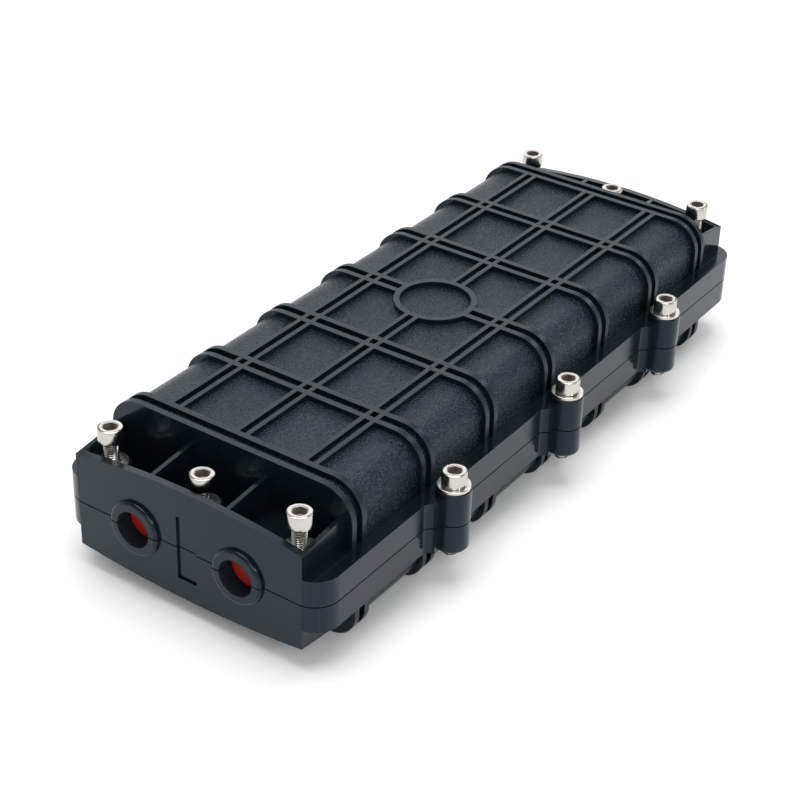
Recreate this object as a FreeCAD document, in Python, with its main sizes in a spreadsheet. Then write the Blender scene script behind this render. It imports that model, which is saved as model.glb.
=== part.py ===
"""Horizontal fibre splice closure: a ribbed cover hinged to a base and screwed down, with trays inside.

Millimetres, +X along the closure, +Z up, origin at the middle of the face that it stands on.
"""

import FreeCAD, Part
import os
import Sketcher

Vector = FreeCAD.Vector
doc = FreeCAD.newDocument("splice_closure")

# Driving dimensions

SIZES = [
    ("rim_length", 425.0, "rim, end to end without the port collars"),
    ("rim_width", 164.0, "rim, side to side without the bosses"),
    ("rim_corner", 14.0, "radius of the rim's corners in plan"),
    ("rim_height", 14.7, "rim ledge above the mating face"),
    ("part_gap", 0.6, "gap between the two halves, held by the gasket"),
    ("rib_top", 46.2, "cover's rib tops above its mating face"),
    ("base_top", 39.0, "base's rib tops above its mating face"),
    ("rib_height", 3.0, "ribs proud of the dome panels"),
    ("rib_width", 3.5, "one rib across the dome"),
    ("rib_spread", 8.1, "centre distance of the two ribs of such a pair"),
    ("strip_width", 2.6, "one rib along the dome"),
    ("strip_spread", 6.2, "centre distance of the two ribs of such a pair"),
    ("pair_pitch", 58.0, "pitch of the rib pairs across the dome"),
    ("pair_count", 7, "rib pairs across the dome"),
    ("strip_pitch", 42.0, "pitch of the rib pairs along the dome"),
    ("strip_count", 3, "rib pairs along the dome"),
    ("dome_width", 151.0, "cover's dome over the ribs"),
    ("base_width", 156.0, "base's dome over the ribs"),
    ("shoulder", 18.0, "cover's shoulder radius over the ribs"),
    ("base_shoulder", 15.0, "base's shoulder radius over the ribs"),
    ("wall", 3.0, "dome wall"),
    ("ring_radius", 23.2, "plain ring in the middle of the cover"),
    ("ring_wall", 3.4, "its width"),
    ("plate_thick", 4.0, "end plate"),
    ("plate_width", 141.0, "end plate"),
    ("plate_edge", 28.3, "cover's end plate at its corners"),
    ("plate_rise", 5.6, "how much higher its middle is"),
    ("base_edge", 26.0, "base's end plate at its corners"),
    ("base_rise", 4.0, "how much higher its middle is"),
    ("well_floor", 4.2, "floor of the end wells"),
    ("well_wall", 2.4, "side walls of the wells"),
    ("well_rise", 4.3, "how much the side walls rise to the dome"),
    ("web_offset", 23.5, "webs that part a well into three bays, from the middle"),
    ("web_thick", 2.4, "one web"),
    ("web_rise", 3.2, "how much a web rises to the dome"),
    ("port_offset", 32.4, "port axes from the middle"),
    ("port_radius", 10.0, "port mouth"),
    ("port_seat", 14.0, "seat of the port plug"),
    ("seat_length", 24.4, "length of that seat"),
    ("hump_radius", 18.5, "outside of the port channel"),
    ("collar_radius", 15.3, "port collar"),
    ("collar_proud", 2.6, "collar proud of the end plate"),
    ("collar_round", 2.0, "rounding of the collar's edge"),
    ("field_width", 12.0, "bare sunk field between the ports"),
    ("field_height", 18.2, "its height on one half"),
    ("field_depth", 1.2, "its depth"),
    ("boss_pitch", 110.0, "side screws along the rim"),
    ("boss_offset", 87.0, "side screw axes from the middle"),
    ("boss_radius", 9.3, "side screw boss"),
    ("boss_cover", 18.5, "its height on the cover"),
    ("boss_base", 17.0, "its height on the base"),
    ("boss_edge", 0.6, "its rounded edge on the cover, under the washer"),
    ("boss_round", 2.5, "its rounded edge on the base"),
    ("neck_half", 14.5, "half the width of the neck behind a side boss"),
    ("neck_reach", 4.5, "how far the neck stands out from the rim"),
    ("hinge_offset", 90.0, "hinge axis from the middle"),
    ("knuckle_radius", 6.3, "hinge knuckle"),
    ("knuckle_cover", 16.0, "width of a knuckle on the cover"),
    ("knuckle_base", 9.0, "width of a knuckle on the base"),
    ("knuckle_gap", 0.4, "gap between two knuckles"),
    ("hinge_pin", 3.0, "hinge pin"),
    ("pin_head", 4.6, "its head"),
    ("pin_room", 0.1, "room round it in the cover's knuckles"),
    ("groove_room", 0.4, "extra room in the cover's groove, for the swing"),
    ("end_screw_x", 199.0, "end screw axes from the middle, along"),
    ("end_screw_y", 59.0, "outer end screw axes from the middle, across"),
    ("well_radius", 10.0, "screw seat in a well"),
    ("well_cover", 20.0, "its height on the cover"),
    ("well_base", 15.4, "its height on the base"),
    ("gasket_width", 5.0, "gasket strip"),
    ("gasket_x", 183.0, "gasket's middle line from the middle, along"),
    ("gasket_y", 76.6, "gasket's middle line from the middle, across"),
    ("gasket_bend", 5.5, "corner radius of that line"),
    ("groove_cover", 1.8, "gasket groove in the cover"),
    ("groove_base", 2.8, "gasket groove in the base"),
    ("thread_radius", 4.0, "screw thread, outside"),
    ("head_radius", 6.5, "screw head"),
    ("head_height", 8.0, "screw head"),
    ("socket_width", 6.0, "hex socket across flats"),
    ("socket_depth", 4.5, "hex socket"),
    ("side_length", 43.0, "side screw under its head"),
    ("end_length", 40.0, "end screw under its head"),
    ("end_raise", 12.4, "how far the outer screws of the near end stand backed out"),
    ("mid_raise", 9.0, "how far the middle screws of both ends stand backed out"),
    ("far_raise", 15.5, "how far the outer screws of the far end stand backed out"),
    ("hole_radius", 4.5, "screw hole"),
    ("washer_radius", 8.8, "flat washer"),
    ("washer_bore", 4.3, "its hole"),
    ("washer_thick", 1.6, "its thickness"),
    ("insert_radius", 5.5, "thread insert"),
    ("insert_bore", 4.25, "its bore over the thread"),
    ("insert_length", 14.0, "its length"),
    ("fit", 0.05, "room round a pressed or seated piece"),
    ("plug_room", 0.2, "room round a port plug"),
    ("stand_x", 80.0, "frame stands on the base floor, along"),
    ("stand_y", 42.0, "frame stands, across"),
    ("stand_radius", 5.0, "one stand"),
    ("stand_height", 5.0, "one stand"),
    ("sheet", 1.5, "frame sheet"),
    ("frame_long", 316.0, "frame, end to end"),
    ("frame_wide", 108.0, "frame, side to side"),
    ("shelf", 18.0, "bent-in shelf at each end"),
    ("shelf_drop", 2.0, "shelf under the cables' axes"),
    ("cable_room", 10.4, "cable cradle radius in the frame and saddles"),
    ("small_thread", 2.0, "small screw, thread"),
    ("small_hole", 2.3, "small screw, hole"),
    ("small_head", 3.6, "small screw, head"),
    ("small_head_height", 2.6, "small screw, head"),
    ("saddle_long", 10.0, "saddle along the cable"),
    ("saddle_ear", 21.5, "half the saddle's width over its ears"),
    ("saddle_hole", 17.0, "saddle screws from the cable's axis"),
    ("saddle_band", 2.4, "saddle band"),
    ("saddle_foot", 2.4, "saddle ears"),
    ("post_x", 122.0, "strength-member posts, along"),
    ("post_radius", 5.0, "one post"),
    ("post_spigot", 2.4, "its spigot in the frame"),
    ("post_rise", 6.0, "its top over the cables' axes"),
    ("member_hole", 2.2, "cross hole for the strength member"),
    ("tray_long", 204.0, "splice tray"),
    ("tray_wide", 112.0, "splice tray"),
    ("tray_corner", 24.0, "its corners in plan"),
    ("tray_height", 10.0, "splice tray"),
    ("tray_floor", 1.6, "its floor"),
    ("tray_wall", 2.0, "its walls"),
    ("tray_tab", 6.0, "tabs that hold the fibre down"),
    ("tray_notch", 14.0, "fibre entries in the end walls"),
    ("tray_low", 20.0, "underside of the lower tray"),
    ("stud_x", 62.0, "tray studs, along"),
    ("stud_radius", 3.0, "tray stud"),
    ("stud_room", 3.4, "stud hole in the trays"),
    ("stud_collar", 6.5, "collar that the lower tray sits on"),
    ("stud_top", 51.0, "stud's top"),
    ("spool_radius", 30.0, "fibre spool round each stud"),
    ("spool_wall", 1.8, "its wall"),
    ("spool_height", 6.0, "its height over the tray's floor"),
    ("spool_gap", 12.0, "fibre gap in a spool"),
    ("comb_long", 46.0, "splice holder"),
    ("comb_wide", 40.0, "splice holder"),
    ("comb_height", 5.0, "splice holder"),
    ("comb_slot", 2.8, "one splice slot"),
    ("comb_pitch", 4.6, "pitch of the slots"),
    ("comb_count", 8, "slots in one holder"),
    ("lid_thick", 1.5, "clear tray lid"),
    ("nut_radius", 8.0, "thumb nut"),
    ("nut_height", 7.0, "thumb nut"),
]

sheet = doc.addObject("Spreadsheet::Sheet", "Sizes")


class Dim:
    """A length that knows its number and the sheet expression behind it."""

    def __init__(self, text, value):
        self.text = text
        self.value = value

    def _join(self, sign, other, value):
        text = other.text if isinstance(other, Dim) else repr(float(other))
        return Dim(f"({self.text} {sign} {text})", value)

    def __add__(self, other):
        return self._join("+", other, self.value + number(other))

    def __sub__(self, other):
        return self._join("-", other, self.value - number(other))

    def __mul__(self, other):
        return self._join("*", other, self.value * number(other))

    def __truediv__(self, other):
        return self._join("/", other, self.value / number(other))

    def __neg__(self):
        return Dim(f"(-1 * {self.text})", -self.value)


def number(length):
    return length.value if isinstance(length, Dim) else float(length)


class Sizes:
    """Every cell of the sheet as a Dim."""


size = Sizes()
for row, (alias, value, note) in enumerate(SIZES, start=1):
    sheet.set(f"A{row}", note)
    sheet.set(f"B{row}", str(value))
    sheet.setAlias(f"B{row}", alias)
    setattr(size, alias, Dim(f"Sizes.{alias}", value))
doc.recompute()

# Lengths that several pieces share

ZERO = Dim("0", 0.0)
rim_end = size.rim_length / 2
rim_side = size.rim_width / 2
dome_length = size.pair_pitch * (size.pair_count - 1) + size.rib_spread + size.rib_width
dome_end = dome_length / 2
collar_face = rim_end + size.collar_proud
seat_inner = dome_end + 1.0
seat_outer = seat_inner + size.seat_length
parting = size.base_top + size.part_gap / 2
cover_face = parting + size.part_gap / 2
base_face = parting - size.part_gap / 2
base_floor = size.rib_height + size.wall
frame_under = base_floor + size.stand_height
frame_over = frame_under + size.sheet
shelf_top = parting - size.shelf_drop
post_top = parting + size.post_rise

# Tools for sketches and features


def bind(target, name, length):
    """Sets a property from the sheet."""
    if isinstance(length, Dim):
        target.setExpression(name, length.text)
    else:
        setattr(target, name, length)


def new_body(name):
    body = doc.addObject("PartDesign::Body", name)
    body.Label = name
    body.AllowCompound = True
    return body


def origin_item(body, role):
    for item in body.Origin.OriginFeatures:
        if item.Role == role:
            return item
    raise ValueError(role)


def new_sketch(body, name, plane, offset=None):
    """A sketch on an origin plane: XY looks along +Z, YZ along +X, XZ along -Y."""
    sketch = body.newObject("Sketcher::SketchObject", name)
    sketch.AttachmentSupport = (origin_item(body, plane), [""])
    sketch.MapMode = "FlatFace"
    if offset is not None:
        bind(sketch, "AttachmentOffset.Base.z", offset)
    return sketch


def drive(sketch, kind, length, *ends):
    """A driving dimension from the sheet, or a plain one."""
    index = sketch.addConstraint(Sketcher.Constraint(kind, *ends, number(length)))
    if isinstance(length, Dim):
        sketch.setExpression(f"Constraints[{index}]", length.text)


def pin(sketch, item, end, x, y):
    """Holds one point of the sketch at x, y from the origin."""
    for kind, axis, length in (("DistanceX", -2, x), ("DistanceY", -1, y)):
        if abs(number(length)) < 1e-9:
            sketch.addConstraint(Sketcher.Constraint("PointOnObject", item, end, axis))
        elif number(length) > 0:
            drive(sketch, kind, length, -1, 1, item, end)
        else:
            drive(sketch, kind, -length, item, end, -1, 1)


def as_dim(length):
    return length if isinstance(length, Dim) else Dim(repr(float(length)), float(length))


def first_end(sketch, arc, point):
    """Which end of an arc lies on the point, 1 or 2."""
    return 1 if sketch.getPoint(arc, 1).distanceToPoint(point) < 1e-6 else 2


def outline(sketch, corners):
    """A closed outline. A corner is (x, y), or (x, y, radius) between two square edges."""
    points = []
    for corner in corners:
        radius = corner[2] if len(corner) > 2 else None
        points.append((as_dim(corner[0]), as_dim(corner[1]), radius))
    count = len(points)
    starts, ends = [None] * count, [None] * count
    for i, (x, y, radius) in enumerate(points):
        if radius is None:
            starts[i] = ends[i] = (x, y)
            continue
        tangents = []
        for other in (points[i - 1], points[(i + 1) % count]):
            dx = other[0].value - x.value
            dy = other[1].value - y.value
            if abs(dx) > abs(dy):
                tangents.append((x + radius if dx > 0 else x - radius, y))
            else:
                tangents.append((x, y + radius if dy > 0 else y - radius))
        starts[i], ends[i] = tangents
    spot = [None] * count
    for i in range(count):
        a, b = ends[i], starts[(i + 1) % count]
        line = Part.LineSegment(
            Vector(a[0].value, a[1].value, 0), Vector(b[0].value, b[1].value, 0)
        )
        spot[i] = sketch.addGeometry(line, False)
        pin(sketch, spot[i], 1, *a)
    for i in range(count):
        after = spot[i]
        before = spot[i - 1]
        radius = points[i][2]
        if radius is None:
            sketch.addConstraint(Sketcher.Constraint("Coincident", before, 2, after, 1))
            continue
        pin(sketch, before, 2, *starts[i])
        a = Vector(starts[i][0].value, starts[i][1].value, 0)
        b = Vector(ends[i][0].value, ends[i][1].value, 0)
        corner = Vector(points[i][0].value, points[i][1].value, 0)
        centre = a + b - corner
        middle = centre + (corner - centre).normalize() * number(radius)
        arc = sketch.addGeometry(Part.Arc(a, middle, b), False)
        first = first_end(sketch, arc, a)
        sketch.addConstraint(Sketcher.Constraint("Coincident", arc, first, before, 2))
        sketch.addConstraint(Sketcher.Constraint("Coincident", arc, 3 - first, after, 1))
        drive(sketch, "Radius", radius, arc)


def circle(sketch, x, y, radius):
    item = sketch.addGeometry(
        Part.Circle(Vector(number(x), number(y), 0), Vector(0, 0, 1), number(radius)), False
    )
    pin(sketch, item, 3, x, y)
    drive(sketch, "Radius", radius, item)


def rectangle(sketch, x0, x1, y0, y1, radius=None):
    corners = [(x0, y0), (x1, y0), (x1, y1), (x0, y1)]
    if radius is not None:
        corners = [corner + (radius,) for corner in corners]
    outline(sketch, corners)


def volume(body):
    return body.Shape.Volume if not body.Shape.isNull() else 0.0


def extrude(body, kind, name, sketch, length, reverse=False, both=False):
    """A Pad or a Pocket, checked to have changed the body the right way."""
    doc.recompute()
    before = volume(body)
    feature = body.newObject("PartDesign::" + kind, name)
    feature.Profile = sketch
    feature.SideType = "Symmetric" if both else "One side"
    feature.Reversed = reverse
    if length == "all":
        feature.Type = "ThroughAll"
    else:
        bind(feature, "Length", length)
    doc.recompute()
    grown = volume(body) - before
    if (kind == "Pad") != (grown > 0) or abs(grown) < 1e-6:
        raise ValueError(f"{name} changed the volume by {grown:.3f}")
    return feature


def pad(body, name, sketch, length, reverse=False, both=False):
    return extrude(body, "Pad", name, sketch, length, reverse, both)


def pocket(body, name, sketch, length, reverse=False, both=False):
    return extrude(body, "Pocket", name, sketch, length, reverse, both)


def turn(body, kind, name, sketch, axis, angle=360.0):
    """A Revolution or a Groove about an origin axis, or about the sketch's construction line."""
    doc.recompute()
    before = volume(body)
    feature = body.newObject("PartDesign::" + kind, name)
    feature.Profile = sketch
    if axis == "line":
        feature.ReferenceAxis = (sketch, ["Axis0"])
    else:
        feature.ReferenceAxis = (origin_item(body, axis), [""])
    feature.Angle = angle
    doc.recompute()
    grown = volume(body) - before
    if (kind == "Revolution") != (grown > 0) or abs(grown) < 1e-6:
        raise ValueError(f"{name} changed the volume by {grown:.3f}")
    return feature


def axis_line(sketch, x0, x1, y):
    """A construction line along the sketch's x direction, for a turned feature."""
    line = Part.LineSegment(Vector(number(x0), number(y), 0), Vector(number(x1), number(y), 0))
    item = sketch.addGeometry(line, True)
    pin(sketch, item, 1, x0, y)
    pin(sketch, item, 2, x1, y)


def upright_line(sketch, x, top):
    """A construction line along the sketch's y direction, from its x axis up or down."""
    line = Part.LineSegment(Vector(number(x), 0, 0), Vector(number(x), number(top), 0))
    item = sketch.addGeometry(line, True)
    pin(sketch, item, 1, x, ZERO)
    pin(sketch, item, 2, x, top)


def array(body, name, originals, *steps):
    """Repeats features along origin axes. A step is (axis, pitch, count)."""
    feature = body.newObject("PartDesign::MultiTransform", name)
    feature.Originals = originals
    patterns = []
    for number_of_step, (axis, pitch, count) in enumerate(steps, start=1):
        pattern = body.newObject("PartDesign::LinearPattern", f"{name}Step{number_of_step}")
        pattern.Direction = (origin_item(body, axis), [""])
        pattern.Mode = "Spacing"
        bind(pattern, "Offset", pitch)
        bind(pattern, "Occurrences", count)
        patterns.append(pattern)
    feature.Transformations = patterns
    body.Tip = feature
    doc.recompute()
    return feature


def mirror(body, name, originals, *planes):
    """Copies features to the other side of one plane, or to all four corners about two."""
    if len(planes) == 1:
        feature = body.newObject("PartDesign::Mirrored", name)
        feature.Originals = originals
        feature.MirrorPlane = (origin_item(body, planes[0]), [""])
    else:
        feature = body.newObject("PartDesign::MultiTransform", name)
        feature.Originals = originals
        steps = []
        for plane in planes:
            step = body.newObject("PartDesign::Mirrored", name + plane[:2])
            step.MirrorPlane = (origin_item(body, plane), [""])
            steps.append(step)
        feature.Transformations = steps
    body.Tip = feature
    doc.recompute()
    return feature


def place(body, x=ZERO, y=ZERO, z=ZERO, turned=None):
    """Puts a piece in the closure. turned is (axis, degrees)."""
    if turned is not None:
        body.Placement = FreeCAD.Placement(
            Vector(0, 0, 0), FreeCAD.Rotation(Vector(*turned[0]), turned[1])
        )
    for name, length in (("x", x), ("y", y), ("z", z)):
        bind(body, "Placement.Base." + name, as_dim(length))


# The two ribbed halves


class Half:
    """What differs in form between the cover and the base."""

    def __init__(self, width, top, shoulder, edge, rise):
        self.side = width / 2
        self.top = top
        self.shoulder = shoulder
        self.panel = top - size.rib_height
        self.edge = edge
        self.rise = rise


def arch(sketch, half, top, radius):
    """The dome's section: square feet, rounded shoulders."""
    outline(sketch, [(-half, ZERO), (half, ZERO), (half, top, radius), (-half, top, radius)])


def rib_band(sketch, form):
    """A rib's section over the dome, rooted in the panels and in the rim's ledge."""
    root = 1.0
    foot = size.rim_height - root
    sunk = size.rib_height + root
    side = form.side
    inner = side - sunk
    inner_top = form.top - sunk
    bend = form.shoulder - sunk
    outline(
        sketch,
        [
            (-side, foot),
            (-inner, foot),
            (-inner, inner_top, bend),
            (inner, inner_top, bend),
            (inner, foot),
            (side, foot),
            (side, form.top, form.shoulder),
            (-side, form.top, form.shoulder),
        ],
    )


def end_plate(sketch, form):
    """Upright plate with an arched top, seen along the closure."""
    half = size.plate_width / 2
    edge = form.edge
    rise = form.rise
    radius = (half * half + rise * rise) / (rise * 2)
    left = Vector(-half.value, edge.value, 0)
    right = Vector(half.value, edge.value, 0)
    low_left = Vector(-half.value, 0, 0)
    low_right = Vector(half.value, 0, 0)
    crown = Vector(0, edge.value + rise.value, 0)
    foot = sketch.addGeometry(Part.LineSegment(low_left, low_right), False)
    side = sketch.addGeometry(Part.LineSegment(low_right, right), False)
    top = sketch.addGeometry(Part.Arc(right, crown, left), False)
    back = sketch.addGeometry(Part.LineSegment(left, low_left), False)
    begin = first_end(sketch, top, right)
    for one, one_end, two, two_end in (
        (foot, 2, side, 1),
        (side, 2, top, begin),
        (top, 3 - begin, back, 1),
        (back, 2, foot, 1),
    ):
        sketch.addConstraint(Sketcher.Constraint("Coincident", one, one_end, two, two_end))
    pin(sketch, foot, 1, -half, ZERO)
    pin(sketch, foot, 2, half, ZERO)
    pin(sketch, side, 2, half, edge)
    pin(sketch, back, 1, -half, edge)
    drive(sketch, "Radius", radius, top)


def sloped(sketch, outer, height, rise):
    """A wall that runs from the dome out to the end plate, falling as it goes."""
    inner = dome_end - size.wall / 2
    outline(sketch, [(inner, ZERO), (outer, ZERO), (outer, height), (inner, height + rise)])


def port_profile(sketch, steps):
    """Half the section of a turned port form. steps are (x, radius[, rounding]), the axis closes it."""
    axis = size.port_offset
    corners = [(steps[0][0], axis)]
    for x, radius, *rounding in steps:
        corners.append((x, axis + radius, *rounding))
    corners.append((steps[-1][0], axis))
    outline(sketch, corners)
    axis_line(sketch, steps[0][0], steps[-1][0], axis)


def neck_plan(sketch, side):
    """The neck behind one side boss: it leaves the rim in two hollow curves. side is 1 or -1 along y."""
    middle = -size.boss_pitch
    wide = size.neck_half + size.neck_reach
    edge = rim_side * side
    outer = (rim_side + size.neck_reach) * side
    root = (rim_side - 3.0) * side
    spots = [
        (middle - wide, root),
        (middle - wide, edge),
        (middle - size.neck_half, outer),
        (middle + size.neck_half, outer),
        (middle + wide, edge),
        (middle + wide, root),
    ]
    points = [Vector(x.value, y.value, 0) for x, y in spots]
    lines = []
    for a, b in ((5, 0), (0, 1), (2, 3), (4, 5)):
        lines.append(sketch.addGeometry(Part.LineSegment(points[a], points[b]), False))
        pin(sketch, lines[-1], 1, *spots[a])
        if b in (1, 3):
            pin(sketch, lines[-1], 2, *spots[b])
    reach = size.neck_reach.value
    diagonal = 0.5**0.5
    for a, b, sign, before, after in ((1, 2, -1, 1, 2), (3, 4, 1, 2, 3)):
        centre = Vector(middle.value + sign * wide.value, outer.value, 0)
        bulge = centre + Vector(-sign * reach * diagonal, -side * reach * diagonal, 0)
        arc = sketch.addGeometry(Part.Arc(points[a], bulge, points[b]), False)
        begin = first_end(sketch, arc, points[a])
        sketch.addConstraint(Sketcher.Constraint("Coincident", arc, begin, lines[before], 2))
        sketch.addConstraint(Sketcher.Constraint("Coincident", arc, 3 - begin, lines[after], 1))
        drive(sketch, "Radius", size.neck_reach, arc)
    sketch.addConstraint(Sketcher.Constraint("Coincident", lines[0], 2, lines[1], 1))
    sketch.addConstraint(Sketcher.Constraint("Coincident", lines[3], 2, lines[0], 1))


def strip_plan(sketch, room):
    """The gasket's loop in plan: two rounded rectangles, drawn in by room."""
    half = size.gasket_width / 2 - room
    for shift in (half, -half):
        x = size.gasket_x + shift
        y = size.gasket_y + shift
        rectangle(sketch, -x, x, -y, y, size.gasket_bend + shift)


def end_spots(sketch, radius):
    """The six end screw axes, as circles."""
    for x in (-size.end_screw_x, size.end_screw_x):
        for y in (-size.end_screw_y, ZERO, size.end_screw_y):
            circle(sketch, x, y, radius)


def screw_spots(sketch, side, radius):
    """All nine screw axes, as circles. side is where the three side screws are."""
    for x in (-size.boss_pitch, ZERO, size.boss_pitch):
        circle(sketch, x, size.boss_offset * side, radius)
    end_spots(sketch, radius)


def hinge_knuckles(body, side, first, width, *steps):
    """Knuckles on short arms from the rim, the first in the middle of its width at x = first."""
    axis_y = size.hinge_offset * side
    axis_z = -size.part_gap / 2
    sketch = new_sketch(body, "KnuckleSection", "YZ_Plane", first)
    circle(sketch, axis_y, axis_z, size.knuckle_radius)
    knuckle = pad(body, "Knuckle", sketch, width, both=True)
    sketch = new_sketch(body, "ArmSection", "YZ_Plane", first)
    low, high = sorted((axis_y, (rim_side - 2.0) * side), key=number)
    rectangle(sketch, low, high, ZERO, axis_z + size.knuckle_radius)
    arm = pad(body, "KnuckleArm", sketch, width, both=True)
    array(body, "Knuckles", [knuckle, arm], *steps)


def housing(name, form, side, side_boss, boss_edge, well_boss, groove, groove_room):
    """One half, standing on its mating face with the dome up. side is where its screws are, along y."""
    body = new_body(name)

    sketch = new_sketch(body, "RimPlan", "XY_Plane")
    rectangle(sketch, -rim_end, rim_end, -rim_side, rim_side, size.rim_corner)
    pad(body, "Rim", sketch, size.rim_height)

    # End wells: floor, plate with an arched top, side walls, webs, port channels, screw seats
    sketch = new_sketch(body, "WellPlan", "XY_Plane", size.rim_height)
    well_side = size.plate_width / 2 - size.well_wall
    rectangle(sketch, dome_end, rim_end - size.plate_thick, -well_side, well_side)
    well = pocket(body, "Well", sketch, size.rim_height - size.well_floor)
    mirror(body, "Wells", [well], "YZ_Plane")

    sketch = new_sketch(body, "DomeSection", "YZ_Plane")
    arch(sketch, form.side - size.rib_height, form.panel, form.shoulder - size.rib_height)
    pad(body, "Dome", sketch, dome_length, both=True)

    sketch = new_sketch(body, "PlateFace", "YZ_Plane", rim_end)
    end_plate(sketch, form)
    plate = pad(body, "EndPlate", sketch, size.plate_thick, reverse=True)
    mirror(body, "EndPlates", [plate], "YZ_Plane")
    sketch = new_sketch(body, "WellWallSide", "XZ_Plane", -size.plate_width / 2)
    sloped(sketch, rim_end, form.edge, size.well_rise)
    wall = pad(body, "WellWall", sketch, size.well_wall)
    sketch = new_sketch(body, "WebSide", "XZ_Plane", -(size.web_offset + size.web_thick / 2))
    sloped(sketch, rim_end - size.plate_thick / 2, form.edge + form.rise * 0.84, size.web_rise)
    web = pad(body, "Web", sketch, size.web_thick)
    sketch = new_sketch(body, "PortForm", "XY_Plane")
    port_profile(
        sketch,
        [
            (dome_end - size.wall, size.hump_radius),
            (rim_end - 1.0, size.hump_radius),
            (rim_end - 1.0, size.collar_radius),
            (collar_face, size.collar_radius, size.collar_round),
        ],
    )
    port = turn(body, "Revolution", "Port", sketch, "line", 180.0)
    mirror(body, "EndForms", [wall, web, port], "XZ_Plane", "YZ_Plane")

    sketch = new_sketch(body, "WellBossPlan", "XY_Plane")
    end_spots(sketch, size.well_radius)
    pad(body, "WellBosses", sketch, well_boss)

    # Side bosses on necks with hollow corners
    sketch = new_sketch(body, "NeckPlan", "XY_Plane")
    neck_plan(sketch, side)
    neck = pad(body, "Neck", sketch, size.rim_height)
    sketch = new_sketch(body, "SideBossProfile", "XZ_Plane", -size.boss_offset * side)
    axis = -size.boss_pitch
    reach = axis + size.boss_radius
    outline(sketch, [(axis, ZERO), (reach, ZERO), (reach, side_boss, boss_edge), (axis, side_boss)])
    upright_line(sketch, axis, side_boss)
    boss = turn(body, "Revolution", "SideBoss", sketch, "line")
    array(body, "SideBosses", [neck, boss], ("X_Axis", size.boss_pitch, 3))

    # The hollow inside, the port bores with their seats, the bare fields and the gasket groove
    sketch = new_sketch(body, "HollowSection", "YZ_Plane")
    thin = size.rib_height + size.wall
    arch(sketch, form.side - thin, form.top - thin, form.shoulder - thin)
    pocket(body, "Hollow", sketch, dome_length - size.wall * 2, both=True)

    sketch = new_sketch(body, "PortBoreForm", "XY_Plane", -size.part_gap / 2)
    port_profile(
        sketch,
        [
            (dome_end - size.wall - 2.0, size.port_radius),
            (seat_inner, size.port_radius),
            (seat_inner, size.port_seat),
            (seat_outer, size.port_seat),
            (seat_outer, size.port_radius),
            (collar_face + 1.0, size.port_radius),
        ],
    )
    bore = turn(body, "Groove", "PortBore", sketch, "line")
    mirror(body, "PortBores", [bore], "XZ_Plane", "YZ_Plane")

    sketch = new_sketch(body, "FieldFace", "YZ_Plane", rim_end)
    rectangle(sketch, -size.field_width / 2, size.field_width / 2, ZERO, size.field_height)
    field = pocket(body, "Field", sketch, size.field_depth)
    mirror(body, "Fields", [field], "YZ_Plane")

    sketch = new_sketch(body, "GroovePlan", "XY_Plane")
    strip_plan(sketch, -groove_room)
    pocket(body, "GasketGroove", sketch, groove, reverse=True)
    sketch = new_sketch(body, "ScrewHolePlan", "XY_Plane")
    screw_spots(sketch, side, size.hole_radius)
    pocket(body, "ScrewHoles", sketch, form.top, reverse=True)
    return body


def add_ribs(body, form):
    """The cross-ribs: one rib, then the pair, then all pairs, across the dome and along its flat."""
    sketch = new_sketch(body, "RibSection", "YZ_Plane", -dome_end)
    rib_band(sketch, form)
    rib = pad(body, "Rib", sketch, size.rib_width)
    array(
        body,
        "RibPairs",
        [rib],
        ("X_Axis", size.rib_spread, 2),
        ("X_Axis", size.pair_pitch, size.pair_count),
    )
    pair_width = size.strip_spread + size.strip_width
    first = -size.strip_pitch * (size.strip_count - 1) / 2 - pair_width / 2
    reach = dome_end - size.rib_spread - size.rib_width / 2
    sketch = new_sketch(body, "StripPlan", "XY_Plane", form.panel - 1.0)
    rectangle(sketch, -reach, reach, first, first + size.strip_width)
    strip = pad(body, "Strip", sketch, size.rib_height + 1.0)
    array(
        body,
        "StripPairs",
        [strip],
        ("Y_Axis", size.strip_spread, 2),
        ("Y_Axis", size.strip_pitch, size.strip_count),
    )


cover_form = Half(size.dome_width, size.rib_top, size.shoulder, size.plate_edge, size.plate_rise)
base_form = Half(size.base_width, size.base_top, size.base_shoulder, size.base_edge, size.base_rise)

cover = housing(
    "upper_cover",
    cover_form,
    -1,
    size.boss_cover,
    size.boss_edge,
    size.well_cover,
    size.groove_cover,
    size.groove_room,
)
hinge_knuckles(
    cover, 1, -size.boss_pitch, size.knuckle_cover, ("X_Axis", size.boss_pitch, 3)
)
sketch = new_sketch(cover, "PinHoleSection", "YZ_Plane")
circle(sketch, size.hinge_offset, -size.part_gap / 2, size.hinge_pin + size.pin_room)
pocket(cover, "PinHoles", sketch, size.rim_length, both=True)
add_ribs(cover, cover_form)
sketch = new_sketch(cover, "RingClearPlan", "XY_Plane", size.rib_top)
circle(sketch, ZERO, ZERO, size.ring_radius)
pocket(cover, "RingClear", sketch, size.rib_height)
sketch = new_sketch(cover, "RingPlan", "XY_Plane", cover_form.panel - 1.0)
circle(sketch, ZERO, ZERO, size.ring_radius)
circle(sketch, ZERO, ZERO, size.ring_radius - size.ring_wall)
pad(cover, "Ring", sketch, size.rib_height + 1.0)
place(cover, z=cover_face)

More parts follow.
